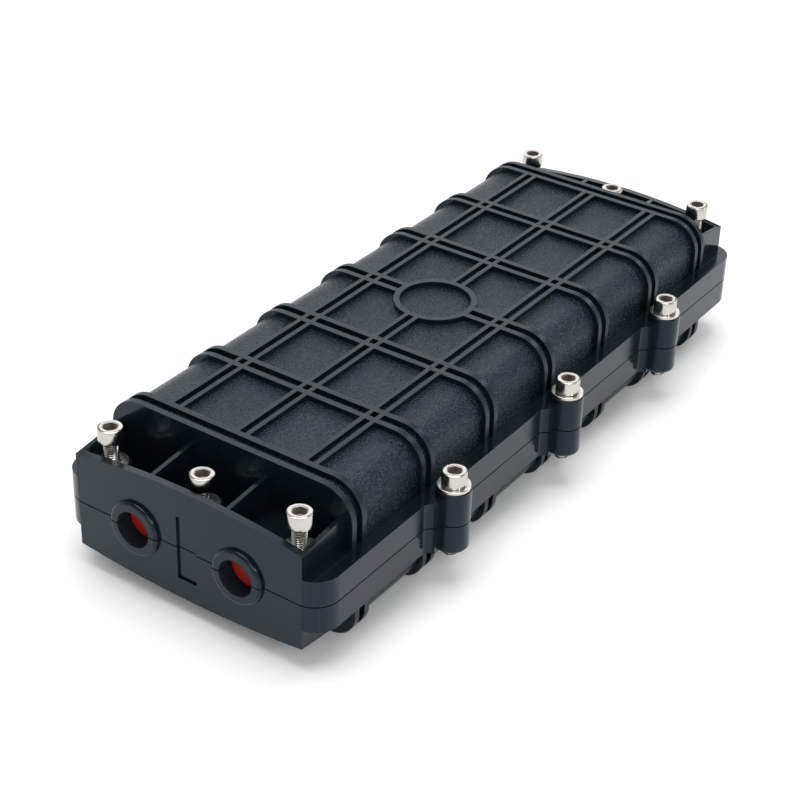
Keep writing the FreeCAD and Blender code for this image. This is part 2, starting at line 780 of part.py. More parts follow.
base = housing(
    "lower_base",
    base_form,
    1,
    size.boss_base,
    size.boss_round,
    size.well_base,
    size.groove_base,
    ZERO,
)
knuckle_spread = size.knuckle_cover + size.knuckle_base + size.knuckle_gap * 2
hinge_knuckles(
    base,
    -1,
    -size.boss_pitch - knuckle_spread / 2,
    size.knuckle_base,
    ("X_Axis", knuckle_spread, 2),
    ("X_Axis", size.boss_pitch, 3),
)
sketch = new_sketch(base, "PinHoleSection", "YZ_Plane")
circle(sketch, -size.hinge_offset, -size.part_gap / 2, size.hinge_pin + size.fit)
pocket(base, "PinHoles", sketch, size.rim_length, both=True)
sketch = new_sketch(base, "InsertHolePlan", "XY_Plane")
screw_spots(sketch, 1, size.insert_radius + size.fit)
pocket(base, "InsertHoles", sketch, size.insert_length, reverse=True)
floor = base_form.panel - size.wall
sketch = new_sketch(base, "StandPlan", "XY_Plane", floor - size.stand_height)
for x in (-size.stand_x, size.stand_x):
    for y in (-size.stand_y, size.stand_y):
        circle(sketch, x, y, size.stand_radius)
pad(base, "Stands", sketch, size.stand_height + 1.0)
sketch = new_sketch(base, "StandHolePlan", "XY_Plane", floor - size.stand_height)
for x in (-size.stand_x, size.stand_x):
    for y in (-size.stand_y, size.stand_y):
        circle(sketch, x, y, size.small_thread + size.fit)
pocket(base, "StandHoles", sketch, size.stand_height + 0.5, reverse=True)
add_ribs(base, base_form)
place(base, z=base_face, turned=((1, 0, 0), 180))

# Gasket strip, parted where it meets the port plugs

gasket = new_body("sealing_gasket")
sketch = new_sketch(gasket, "StripLoop", "XY_Plane")
strip_plan(sketch, size.fit)
pad(gasket, "Loop", sketch, size.groove_base + size.part_gap + size.groove_cover)
sketch = new_sketch(gasket, "PortGaps", "YZ_Plane")
for y in (-size.port_offset, size.port_offset):
    circle(sketch, y, size.groove_base + size.part_gap / 2, size.port_seat - size.plug_room / 2)
pocket(gasket, "Gaps", sketch, size.rim_length, both=True)
place(gasket, z=base_face - size.groove_base)


# Hinge pins, one through each set of knuckles

pins = new_body("hinge_pins")
sketch = new_sketch(pins, "PinProfile", "XY_Plane")
pin_end = knuckle_spread / 2 + size.knuckle_base / 2 + 0.3
start = -size.boss_pitch - pin_end
finish = -size.boss_pitch + pin_end + 1.0
pin_axis = size.hinge_offset
outline(
    sketch,
    [
        (start - 1.8, pin_axis),
        (start - 1.8, pin_axis + size.pin_head - 0.8),
        (start - 1.0, pin_axis + size.pin_head),
        (start, pin_axis + size.pin_head),
        (start, pin_axis + size.hinge_pin),
        (finish, pin_axis + size.hinge_pin),
        (finish + 0.8, pin_axis + size.hinge_pin - 0.8),
        (finish + 0.8, pin_axis),
    ],
)
axis_line(sketch, start, finish, pin_axis)
one = turn(pins, "Revolution", "Pin", sketch, "line")
array(pins, "Pins", [one], ("X_Axis", size.boss_pitch, 3))
place(pins, z=parting)


# Port plugs: soft turned pieces with two sealing lands


def port_plug(name, end, side):
    body = new_body(name)
    sketch = new_sketch(body, "PlugProfile", "XY_Plane")
    radius = size.port_seat - size.plug_room
    long = size.seat_length - 0.4
    waist = radius - 1.4
    bevel = 1.2
    outline(
        sketch,
        [
            (ZERO, ZERO),
            (ZERO, radius - bevel),
            (as_dim(bevel), radius),
            (long * 0.3, radius),
            (long * 0.36, waist),
            (long * 0.6, waist),
            (long * 0.66, radius),
            (long - bevel, radius),
            (long, radius - bevel),
            (long, ZERO),
        ],
    )
    turn(body, "Revolution", "Plug", sketch, "X_Axis")
    turned = ((0, 0, 1), 180) if end < 0 else None
    inner = seat_inner + 0.2
    y = size.port_offset
    place(body, inner if end > 0 else -inner, y if side > 0 else -y, parting, turned)
    return body


plugs = []
for end, side in ((-1, 1), (-1, -1), (1, 1), (1, -1)):
    plugs.append(port_plug(f"port_plug_{len(plugs) + 1}", end, side))


# Screws, washers and thread inserts


def cap_screw(name, length):
    """Socket-head screw, origin under its head."""
    body = new_body(name)
    sketch = new_sketch(body, "ScrewProfile", "XZ_Plane")
    point = 1.0
    edge = 0.7
    outline(
        sketch,
        [
            (ZERO, -length),
            (size.thread_radius - point, -length),
            (size.thread_radius, -(length - point)),
            (size.thread_radius, ZERO),
            (size.head_radius, ZERO),
            (size.head_radius, size.head_height - edge),
            (size.head_radius - edge, size.head_height),
            (ZERO, size.head_height),
        ],
    )
    turn(body, "Revolution", "Screw", sketch, "Z_Axis")
    sketch = new_sketch(body, "SocketPlan", "XY_Plane", size.head_height)
    half = size.socket_width / 2
    corner = size.socket_width * (1 / 3**0.5)
    outline(
        sketch,
        [
            (corner, ZERO),
            (corner / 2, half),
            (-corner / 2, half),
            (-corner, ZERO),
            (-corner / 2, -half),
            (corner / 2, -half),
        ],
    )
    pocket(body, "Socket", sketch, size.socket_depth)
    return body


screws = []
side_seat = cover_face + size.boss_cover + size.washer_thick
for x in (-size.boss_pitch, ZERO, size.boss_pitch):
    screw = cap_screw(f"side_screw_{len(screws) + 1}", size.side_length)
    place(screw, x, -size.boss_offset, side_seat)
    screws.append(screw)
end_seat = cover_face + size.well_cover + size.washer_thick
end_screws = []
for x in (-size.end_screw_x, size.end_screw_x):
    for y in (-size.end_screw_y, ZERO, size.end_screw_y):
        screw = cap_screw(f"end_screw_{len(end_screws) + 1}", size.end_length)
        raised = size.far_raise if x.value > 0 else size.end_raise
        if y is ZERO:
            raised = size.mid_raise
        place(screw, x, y, end_seat + raised)
        end_screws.append(screw)


def tube_group(name, bore, radius, height, x, y, *steps):
    """Equal tubes standing at the nodes of a grid."""
    body = new_body(name)
    sketch = new_sketch(body, "TubePlan", "XY_Plane")
    circle(sketch, x, y, radius)
    circle(sketch, x, y, bore)
    tube = pad(body, "Tube", sketch, height)
    array(body, "Tubes", [tube], *steps)
    return body


side_steps = (("X_Axis", size.boss_pitch, 3),)
end_steps = (("X_Axis", size.end_screw_x * 2, 2), ("Y_Axis", size.end_screw_y, 3))
side_start = (-size.boss_pitch, -size.boss_offset)
end_start = (-size.end_screw_x, -size.end_screw_y)
washer = (size.washer_bore, size.washer_radius, size.washer_thick)
side_washers = tube_group("side_washers", *washer, *side_start, *side_steps)
place(side_washers, z=cover_face + size.boss_cover)
end_washers = tube_group("end_washers", *washer, *end_start, *end_steps)
place(end_washers, z=cover_face + size.well_cover)
insert = (size.insert_bore, size.insert_radius, size.insert_length)
side_inserts = tube_group("side_inserts", *insert, *side_start, *side_steps)
place(side_inserts, z=base_face - size.insert_length)
end_inserts = tube_group("end_inserts", *insert, *end_start, *end_steps)
place(end_inserts, z=base_face - size.insert_length)

# Bent steel frame on the base floor

frame = new_body("tray_frame")
rise = shelf_top - frame_under
half_long = size.frame_long / 2
half_wide = size.frame_wide / 2
inner_bend = as_dim(1.5)
outer_bend = inner_bend + size.sheet
sketch = new_sketch(frame, "SheetSide", "XZ_Plane")
outline(
    sketch,
    [
        (-half_long, ZERO, outer_bend),
        (half_long, ZERO, outer_bend),
        (half_long, rise, outer_bend),
        (half_long - size.shelf, rise),
        (half_long - size.shelf, rise - size.sheet),
        (half_long - size.sheet, rise - size.sheet, inner_bend),
        (half_long - size.sheet, size.sheet, inner_bend),
        (-half_long + size.sheet, size.sheet, inner_bend),
        (-half_long + size.sheet, rise - size.sheet, inner_bend),
        (-half_long + size.shelf, rise - size.sheet),
        (-half_long + size.shelf, rise),
        (-half_long, rise, outer_bend),
    ],
)
pad(frame, "Sheet", sketch, size.frame_wide, both=True)
sketch = new_sketch(frame, "Cradles", "YZ_Plane")
for y in (-size.port_offset, size.port_offset):
    circle(sketch, y, parting - frame_under, size.cable_room)
pocket(frame, "CradleCut", sketch, size.frame_long * 2, both=True)
sketch = new_sketch(frame, "PlateHoles", "XY_Plane")
for x in (-1, 1):
    circle(sketch, size.stud_x * x, ZERO, size.stud_radius + 0.2)
    for y in (-1, 1):
        circle(sketch, size.stand_x * x, size.stand_y * y, size.small_hole)
        circle(sketch, size.post_x * x, size.port_offset * y, size.post_spigot + size.fit)
pocket(frame, "PlateHoleCut", sketch, size.sheet * 2, reverse=True)
sketch = new_sketch(frame, "ShelfHoles", "XY_Plane", rise)
shelf_x = half_long - size.shelf / 2
for x in (-1, 1):
    for y in (-1, 1):
        for ear in (-1, 1):
            circle(sketch, shelf_x * x, (size.port_offset + size.saddle_hole * ear) * y, size.small_hole)
pocket(frame, "ShelfHoleCut", sketch, size.sheet * 2)
place(frame, z=frame_under)


def small_screws(name, grip, x, y, *steps):
    """Pan-head screws with their heads standing on z = 0."""
    body = new_body(name)
    sketch = new_sketch(body, "SmallProfile", "XZ_Plane", -y)
    crown = 0.9
    outline(
        sketch,
        [
            (x, -grip),
            (x + size.small_thread, -grip),
            (x + size.small_thread, ZERO),
            (x + size.small_head, ZERO),
            (x + size.small_head, size.small_head_height - crown),
            (x + size.small_head - crown, size.small_head_height),
            (x, size.small_head_height),
        ],
    )
    upright_line(sketch, x, size.small_head_height)
    one = turn(body, "Revolution", "SmallScrew", sketch, "line")
    array(body, "SmallScrews", [one], *steps)
    return body


frame_screws = small_screws(
    "frame_screws",
    size.sheet + size.stand_height - 0.5,
    -size.stand_x,
    -size.stand_y,
    ("X_Axis", size.stand_x * 2, 2),
    ("Y_Axis", size.stand_y * 2, 2),
)
place(frame_screws, z=frame_over)


# Cable saddles over the frame's cradles


def cable_saddle(name, end, side):
    """A band over the cable with two screwed ears, origin on the cable's axis."""
    body = new_body(name)
    foot = shelf_top - parting
    sketch = new_sketch(body, "EarSection", "YZ_Plane")
    rectangle(sketch, -size.saddle_ear, size.saddle_ear, foot, foot + size.saddle_foot)
    pad(body, "Ears", sketch, size.saddle_long, both=True)
    sketch = new_sketch(body, "BandSection", "YZ_Plane")
    circle(sketch, ZERO, ZERO, size.cable_room + size.saddle_band)
    pad(body, "Band", sketch, size.saddle_long, both=True)
    sketch = new_sketch(body, "UnderSection", "YZ_Plane")
    rectangle(sketch, -size.saddle_ear, size.saddle_ear, foot - size.saddle_ear, foot)
    pocket(body, "Under", sketch, size.saddle_long * 2, both=True)
    sketch = new_sketch(body, "CableSection", "YZ_Plane")
    circle(sketch, ZERO, ZERO, size.cable_room)
    pocket(body, "CableWay", sketch, size.saddle_long * 2, both=True)
    sketch = new_sketch(body, "EarHolePlan", "XY_Plane", foot)
    for ear in (-1, 1):
        circle(sketch, ZERO, size.saddle_hole * ear, size.small_hole)
    pocket(body, "EarHoles", sketch, size.saddle_foot, reverse=True)
    place(body, shelf_x * end, size.port_offset * side, parting)
    return body


saddles = []
for end, side in ((-1, 1), (-1, -1), (1, 1), (1, -1)):
    saddles.append(cable_saddle(f"cable_saddle_{len(saddles) + 1}", end, side))
saddle_screws = small_screws(
    "saddle_screws",
    size.saddle_foot + size.sheet + 1.0,
    -shelf_x,
    -(size.port_offset + size.saddle_hole),
    ("X_Axis", shelf_x * 2, 2),
    ("Y_Axis", size.saddle_hole * 2, 2),
    ("Y_Axis", size.port_offset * 2, 2),
)
place(saddle_screws, z=shelf_top + size.saddle_foot)

# Posts that grip the cables' strength members

posts = new_body("strength_posts")
post_x = -size.post_x
post_y = -size.port_offset
tall = post_top - frame_over
sketch = new_sketch(posts, "PostPlan", "XY_Plane")
circle(sketch, post_x, post_y, size.post_radius)
post = pad(posts, "Post", sketch, tall)
sketch = new_sketch(posts, "SpigotPlan", "XY_Plane")
circle(sketch, post_x, post_y, size.post_spigot)
spigot = pad(posts, "Spigot", sketch, size.sheet, reverse=True)
sketch = new_sketch(posts, "MemberHoleSection", "YZ_Plane", post_x - size.post_radius * 2)
circle(sketch, post_y, parting - frame_over, size.member_hole)
member = pocket(posts, "MemberHole", sketch, size.post_radius * 4, reverse=True)
sketch = new_sketch(posts, "ClampHolePlan", "XY_Plane", tall)
circle(sketch, post_x, post_y, size.small_hole)
clamp = pocket(posts, "ClampHole", sketch, post_top - parting)
post_steps = (("X_Axis", size.post_x * 2, 2), ("Y_Axis", size.port_offset * 2, 2))
array(posts, "Posts", [post, spigot, member, clamp], *post_steps)
place(posts, z=frame_over)
clamp_screws = small_screws(
    "clamp_screws", post_top - parting - size.member_hole, post_x, post_y, *post_steps
)
place(clamp_screws, z=post_top)


# Splice trays, stacked on two studs


def splice_tray(name, level):
    body = new_body(name)
    half_x = size.tray_long / 2
    half_y = size.tray_wide / 2
    sketch = new_sketch(body, "TrayPlan", "XY_Plane")
    rectangle(sketch, -half_x, half_x, -half_y, half_y, size.tray_corner)
    pad(body, "Block", sketch, size.tray_height)
    sketch = new_sketch(body, "TrayHollowPlan", "XY_Plane", size.tray_height)
    wall = size.tray_wall
    rectangle(
        sketch, wall - half_x, half_x - wall, wall - half_y, half_y - wall, size.tray_corner - wall
    )
    pocket(body, "TrayHollow", sketch, size.tray_height - size.tray_floor)
    sketch = new_sketch(body, "NotchPlan", "XY_Plane", size.tray_height)
    for y in (-1, 1):
        low = half_y * 0.45 * y - size.tray_notch / 2
        rectangle(sketch, -half_x - 1.0, half_x + 1.0, low, low + size.tray_notch)
    pocket(body, "Notches", sketch, size.tray_height - size.tray_floor - 1.0)
    sketch = new_sketch(body, "SpoolPlan", "XY_Plane", size.tray_floor - 0.5)
    for x in (-size.stud_x, size.stud_x):
        circle(sketch, x, ZERO, size.spool_radius)
        circle(sketch, x, ZERO, size.spool_radius - size.spool_wall)
    pad(body, "Spools", sketch, size.spool_height + 0.5)
    sketch = new_sketch(body, "SpoolGapPlan", "XY_Plane", size.tray_floor + size.spool_height)
    gap = size.spool_gap / 2
    reach = size.spool_radius + 2.0
    rectangle(sketch, -size.stud_x - reach, size.stud_x + reach, -gap, gap)
    pocket(body, "SpoolGaps", sketch, size.spool_height)
    sketch = new_sketch(body, "StudBossPlan", "XY_Plane")
    for x in (-size.stud_x, size.stud_x):
        circle(sketch, x, ZERO, size.stud_collar)
    pad(body, "StudBosses", sketch, size.tray_height)
    sketch = new_sketch(body, "StudHolePlan", "XY_Plane")
    for x in (-size.stud_x, size.stud_x):
        circle(sketch, x, ZERO, size.stud_room)
    pocket(body, "StudHoles", sketch, size.tray_height, reverse=True)
    sketch = new_sketch(body, "TabPlan", "XY_Plane", size.tray_height - 1.4)
    for x in (-1, 0, 1):
        for y in (-1, 1):
            middle = size.stud_x * x
            edge = (half_y - wall / 2) * y
            inner = (half_y - wall - size.tray_tab) * y
            low, high = (edge, inner) if y < 0 else (inner, edge)
            rectangle(sketch, middle - size.tray_tab, middle + size.tray_tab, low, high)
    pad(body, "Tabs", sketch, as_dim(1.4))
    place(body, z=level)
    return body


def splice_comb(name, level):
    body = new_body(name)
    sketch = new_sketch(body, "CombPlan", "XY_Plane")
    half_x = size.comb_long / 2
    half_y = size.comb_wide / 2
    rectangle(sketch, -half_x, half_x, -half_y, half_y)
    pad(body, "CombBlock", sketch, size.comb_height)
    sketch = new_sketch(body, "SlotPlan", "XY_Plane", size.comb_height)
    first = -size.comb_pitch * (size.comb_count - 1) / 2
    half_slot = size.comb_slot / 2
    rectangle(sketch, -half_x - 1.0, half_x + 1.0, first - half_slot, first + half_slot)
    slot = pocket(body, "Slot", sketch, size.comb_height * 0.7)
    array(body, "Slots", [slot], ("Y_Axis", size.comb_pitch, size.comb_count))
    place(body, z=level)
    return body


upper_level = size.tray_low + size.tray_height
lid_level = upper_level + size.tray_height
trays = [
    splice_tray("splice_tray_lower", size.tray_low),
    splice_tray("splice_tray_upper", upper_level),
    splice_comb("splice_comb_lower", size.tray_low + size.tray_floor),
    splice_comb("splice_comb_upper", upper_level + size.tray_floor),
]

lid = new_body("tray_lid")
sketch = new_sketch(lid, "LidPlan", "XY_Plane")
half_x = size.tray_long / 2
half_y = size.tray_wide / 2
rectangle(sketch, -half_x, half_x, -half_y, half_y, size.tray_corner)
for x in (-size.stud_x, size.stud_x):
    circle(sketch, x, ZERO, size.stud_room)
pad(lid, "Lid", sketch, size.lid_thick)
place(lid, z=lid_level)

studs = new_body("tray_studs")
sketch = new_sketch(studs, "StudProfile", "XZ_Plane")
stud_at = -size.stud_x
head = 2.0
under = frame_under - head
outline(
    sketch,
    [
        (stud_at, under),
        (stud_at + size.stud_collar - 1.0, under),
        (stud_at + size.stud_collar - 1.0, frame_under),
        (stud_at + size.stud_radius, frame_under),
        (stud_at + size.stud_radius, frame_over),
        (stud_at + size.stud_collar, frame_over),
        (stud_at + size.stud_collar, size.tray_low),
        (stud_at + size.stud_radius, size.tray_low),
        (stud_at + size.stud_radius, size.stud_top),
        (stud_at, size.stud_top),
    ],
)
upright_line(sketch, stud_at, under)
stud = turn(studs, "Revolution", "Stud", sketch, "line")
array(studs, "Studs", [stud], ("X_Axis", size.stud_x * 2, 2))
place(studs)
nuts = tube_group(
    "tray_nuts",
    size.stud_radius + 0.1,
    size.nut_radius,
    size.nut_height,
    -size.stud_x,
    ZERO,
    ("X_Axis", size.stud_x * 2, 2),
)
place(nuts, z=lid_level + size.lid_thick)

# Every object has to have built, and every piece has to be sound, before anything is written

doc.recompute()
failed = [item.Name for item in doc.Objects if {"Invalid", "Error"} & set(item.State)]
if failed:
    raise ValueError(f"not built: {failed}")
pieces = [item for item in doc.Objects if item.TypeId == "PartDesign::Body"]
for piece in pieces:
    shape = piece.Shape
    if shape.isNull() or not shape.isValid() or not shape.Solids:
        raise ValueError(f"{piece.Label} is not sound")
os.makedirs("parts", exist_ok=True)
for piece in pieces:
    piece.Shape.exportStep(f"parts/{piece.Label}.step")
    print(piece.Label, len(piece.Shape.Solids), round(piece.Shape.Volume / 1000, 2))
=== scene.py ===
"""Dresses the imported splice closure: threaded screws, fine edges, finishes, studio and camera."""

import math
from collections import namedtuple

import bmesh
import bpy
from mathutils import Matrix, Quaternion, Vector


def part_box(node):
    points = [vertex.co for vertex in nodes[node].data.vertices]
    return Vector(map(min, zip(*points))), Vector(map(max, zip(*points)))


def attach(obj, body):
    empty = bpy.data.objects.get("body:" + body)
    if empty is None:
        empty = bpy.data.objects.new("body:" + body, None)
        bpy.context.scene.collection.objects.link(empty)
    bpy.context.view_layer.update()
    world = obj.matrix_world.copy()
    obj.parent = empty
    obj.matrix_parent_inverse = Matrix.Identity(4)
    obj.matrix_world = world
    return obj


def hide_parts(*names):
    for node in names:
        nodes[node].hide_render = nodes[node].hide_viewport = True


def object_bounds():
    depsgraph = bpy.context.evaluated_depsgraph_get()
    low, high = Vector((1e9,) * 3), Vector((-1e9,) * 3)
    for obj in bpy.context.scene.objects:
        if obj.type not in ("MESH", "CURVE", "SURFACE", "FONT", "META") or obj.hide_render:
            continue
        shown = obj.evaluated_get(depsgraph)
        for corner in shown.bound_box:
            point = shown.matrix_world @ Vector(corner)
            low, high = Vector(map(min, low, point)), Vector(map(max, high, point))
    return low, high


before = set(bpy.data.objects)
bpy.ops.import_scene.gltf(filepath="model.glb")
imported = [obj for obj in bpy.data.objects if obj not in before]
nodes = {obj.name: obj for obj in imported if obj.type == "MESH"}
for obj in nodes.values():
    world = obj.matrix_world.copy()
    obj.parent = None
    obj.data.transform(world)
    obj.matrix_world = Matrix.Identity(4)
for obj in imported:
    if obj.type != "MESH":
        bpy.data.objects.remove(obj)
cad_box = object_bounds()

# Sizes in metres

MM = 0.001

Dome = namedtuple("Dome", "mating_face up half_width height bend")
COVER_DOME = Dome(mating_face=39.6 * MM, up=1.0, half_width=72.5 * MM, height=43.2 * MM, bend=15.0 * MM)
BASE_DOME = Dome(mating_face=39.0 * MM, up=-1.0, half_width=75.0 * MM, height=36.0 * MM, bend=12.0 * MM)
RIB_HEIGHT = 3.0 * MM
PORT_OFFSET = 32.4 * MM
PORT_HEIGHT = 39.3 * MM
PORT_RADIUS = 10.0 * MM

THREAD_PITCH = 1.25 * MM
THREAD_DEPTH = 0.62 * MM
THREAD_LEAD = 0.3 * MM
THREAD_ROOT = 1.0 * MM
POINT_TAPER = 0.9 * MM
SHANK_RADIUS = 4.0 * MM
HEAD_HEIGHT = 8.0 * MM
FOOT_EDGE = 0.35 * MM
CROWN_EDGE = 0.75 * MM
SOCKET_WIDTH = 6.8 * MM
SOCKET_MOUTH = 0.25 * MM
SOCKET_DEPTH = 4.5 * MM
SOCKET_POINT = 0.8 * MM

# Colours

PLASTIC = (0.0038, 0.0070, 0.0090)
PLASTIC_GLINT = (0.61, 0.81, 1.0, 1.0)
BRIGHT_STEEL = (0.54, 0.52, 0.49)
# Darker than the bright steel: painted shade inside the screws' sockets
SHADED_SOCKET_STEEL = (0.34, 0.31, 0.29)
ZINC = (0.66, 0.67, 0.69)
SHEET_STEEL = (0.60, 0.61, 0.62)
BRASS = (0.70, 0.50, 0.21)
RED_RUBBER = (0.34, 0.010, 0.007)
BLACK_RUBBER = (0.018, 0.018, 0.019)
TRAY_WHITE = (0.76, 0.76, 0.72)
COMB_BLUE = (0.07, 0.19, 0.40)
SATIN_BLACK = (0.022, 0.022, 0.024)
CLEAR = (0.93, 0.96, 0.97)
FLOOR_WHITE = (0.93, 0.93, 0.93)

# Node materials. The mix sockets are the places of A, B and the result among a Mix node's sockets

EVEN = (1.0, 1.0, 1.0)
MIX_SOCKETS = {"FLOAT": (2, 3, 0), "RGBA": (6, 7, 2)}
NOISE_MIDDLE = (0.3, 0.7)
FACING_RANGE = (0.6, 0.85)


class Shader:
    """One node material, with short calls for the nodes that come up often."""

    def __init__(self, name):
        self.material = bpy.data.materials.new(name)
        self.material.use_nodes = True
        self.tree = self.material.node_tree
        self.surface = self.tree.nodes["Principled BSDF"]

    def node(self, kind, **settings):
        made = self.tree.nodes.new("ShaderNode" + kind)
        for key, value in settings.items():
            setattr(made, key, value)
        return made

    def feed(self, socket, value):
        """Sets an input to a number, a colour or another node's output."""
        if isinstance(value, bpy.types.NodeSocket):
            self.tree.links.new(value, socket)
        else:
            socket.default_value = value

    def place(self, stretch=EVEN):
        """The piece's own coordinates, in metres, scaled along its axes."""
        coordinates = self.node("TexCoord").outputs["Object"]
        if stretch == EVEN:
            return coordinates
        mapping = self.node("Mapping")
        self.feed(mapping.inputs["Vector"], coordinates)
        mapping.inputs["Scale"].default_value = stretch
        return mapping.outputs["Vector"]

    def math(self, operation, *values):
        made = self.node("Math", operation=operation)
        for socket, value in zip(made.inputs, values):
            self.feed(socket, value)
        return made.outputs[0]

    def distance(self, one, two):
        """The length of a step of one along one axis and two along the other."""
        squares = self.math("ADD", self.math("POWER", one, 2.0), self.math("POWER", two, 2.0))
        return self.math("SQRT", squares)

    def ranged(self, value, low, high, to_low=0.0, to_high=1.0):
        """Carries the range from low to high over to another one, with soft ends."""
        made = self.node("MapRange", interpolation_type="SMOOTHSTEP")
        self.feed(made.inputs["Value"], value)
        self.feed(made.inputs["From Min"], low)
        self.feed(made.inputs["From Max"], high)
        self.feed(made.inputs["To Min"], to_low)
        self.feed(made.inputs["To Max"], to_high)
        return made.outputs[0]

    def fading(self, value, low, high):
        """1 up to low, 0 from high on."""
        return self.ranged(value, low, high, 1.0, 0.0)

    def noise(self, size, detail=3.0, rough=0.55, stretch=EVEN):
        """Noise with features of about the given size in metres."""
        made = self.node("TexNoise")
        self.feed(made.inputs["Vector"], self.place(stretch))
        made.inputs["Scale"].default_value = 1.0 / size
        made.inputs["Detail"].default_value = detail
        made.inputs["Roughness"].default_value = rough
        return made.outputs["Fac"]

    def cells(self, size):
        """Distance to the nearest of scattered points about the given size apart."""
        made = self.node("TexVoronoi", feature="F1")
        self.feed(made.inputs["Vector"], self.place())
        made.inputs["Scale"].default_value = 1.0 / size
        return made.outputs["Distance"]

    def facing(self, way):
        """1 where the surface looks the given way, 0 where it looks aside."""
        unit = self.node("VectorMath", operation="NORMALIZE")
        self.feed(unit.inputs[0], way)
        match = self.node("VectorMath", operation="DOT_PRODUCT")
        self.feed(match.inputs[0], unit.outputs["Vector"])
        self.feed(match.inputs[1], self.node("TexCoord").outputs["Normal"])
        return self.ranged(match.outputs["Value"], *FACING_RANGE)

    def mix(self, kind, factor, one, two):
        first, second, result = MIX_SOCKETS[kind]
        made = self.node("Mix", data_type=kind)
        self.feed(made.inputs["Factor"], factor)
        self.feed(made.inputs[first], one)
        self.feed(made.inputs[second], two)
        return made.outputs[result]

    def colours(self, factor, one, two):
        """A mix of two colours."""
        return self.mix("RGBA", factor, one, two)

    def numbers(self, factor, one, two):
        """A mix of two numbers."""
        return self.mix("FLOAT", factor, one, two)

    def bump(self, height, strength, depth, under=None):
        made = self.node("Bump")
        self.feed(made.inputs["Height"], height)
        self.feed(made.inputs["Strength"], strength)
        made.inputs["Distance"].default_value = depth
        if under is not None:
            self.feed(made.inputs["Normal"], under)
        return made.outputs["Normal"]

    def set(self, **inputs):
        """Fills the surface's inputs, named with underscores for spaces, and gives the material."""
        for key, value in inputs.items():
            self.feed(self.surface.inputs[key.replace("_", " ")], value)
        return self.material


def tint(colour, share):
    """The colour made darker or lighter, with an alpha of 1."""
    return tuple(min(1.0, part * share) for part in colour) + (1.0,)


def varied(shader, colour, spread, size):
    """The colour, a little darker and lighter in soft patches."""
    patches = shader.noise(size, detail=4.0)
    return shader.colours(patches, tint(colour, 1.0 - spread), tint(colour, 1.0 + spread))


# Black mouldings: grain on the dome's panels only, with painted glints lightening its colour; lighter,
# rougher rib crests; matt ports; gloss elsewhere

PANEL_FADE = (0.3 * MM, 0.9 * MM)
CREST_FADE = (0.1 * MM, 0.5 * MM)
PORT_FADE = (PORT_RADIUS + 0.1 * MM, PORT_RADIUS + 0.6 * MM)

GRAIN_SIZE = 0.9 * MM
GRAIN_SHARE = 0.7
PIT_SIZE = 1.1 * MM
PIT_SHARE = 0.5
GRAIN_DEPTH = 0.8 * MM
GRAIN_STRENGTH = 0.9
SKIN_SIZE = 0.35 * MM
SKIN_DEPTH = 0.05 * MM
SKIN_STRENGTH = 0.06

PATCH_SIZE = 34 * MM
PATCH_SPREAD = 0.16
# Painted glints: the range of grain peaks and how much lighter their colour is made, standing in for sparkle
PAINTED_GLINT_RANGE = (0.55, 0.66)
PAINTED_GLINT_TINT = 5.6
# Rib crests: how much of the lighter crest colour is mixed in, and how much lighter it is
CREST_SHARE = 0.4
CREST_TINT = 1.8

GLOSS_PATCH = 9 * MM
GLOSS_ROUGHNESS = (0.13, 0.19)
PANEL_ROUGHNESS = (0.18, 0.30)
RIB_ROUGHNESS = 0.36
PORT_ROUGHNESS = 0.75
PLASTIC_SPECULAR = 0.34


def moulding_masks(shader, dome):
    """Where the dome's panels, its ribs' crests and the walls of the ports are, each from 0 to 1."""
    split = shader.node("SeparateXYZ")
    shader.feed(split.inputs[0], shader.place())
    y, z = split.outputs["Y"], split.outputs["Z"]
    aside = shader.math("ABSOLUTE", y)
    height = shader.math("MULTIPLY", shader.math("SUBTRACT", z, dome.mating_face), dome.up)
    across = shader.math("MAXIMUM", shader.math("SUBTRACT", aside, dome.half_width - dome.bend), 0.0)
    above = shader.math("MAXIMUM", shader.math("SUBTRACT", height, dome.height - dome.bend), 0.0)
    reach = shader.math("SUBTRACT", shader.distance(across, above), dome.bend)

    outward = shader.node("CombineXYZ")
    shader.feed(outward.inputs["Y"], shader.math("MULTIPLY", across, shader.math("SIGN", y)))
    shader.feed(outward.inputs["Z"], shader.math("MULTIPLY", above, dome.up))
    near = shader.fading(shader.math("ABSOLUTE", reach), *PANEL_FADE)
    panel = shader.math("MULTIPLY", near, shader.facing(outward.outputs[0]))

    from_crest = shader.math("ABSOLUTE", shader.math("SUBTRACT", reach, RIB_HEIGHT))
    crest = shader.fading(from_crest, *CREST_FADE)

    from_axis = shader.distance(
        shader.math("SUBTRACT", aside, PORT_OFFSET),
        shader.math("SUBTRACT", z, PORT_HEIGHT),
    )
    port = shader.fading(from_axis, *PORT_FADE)
    return panel, crest, port


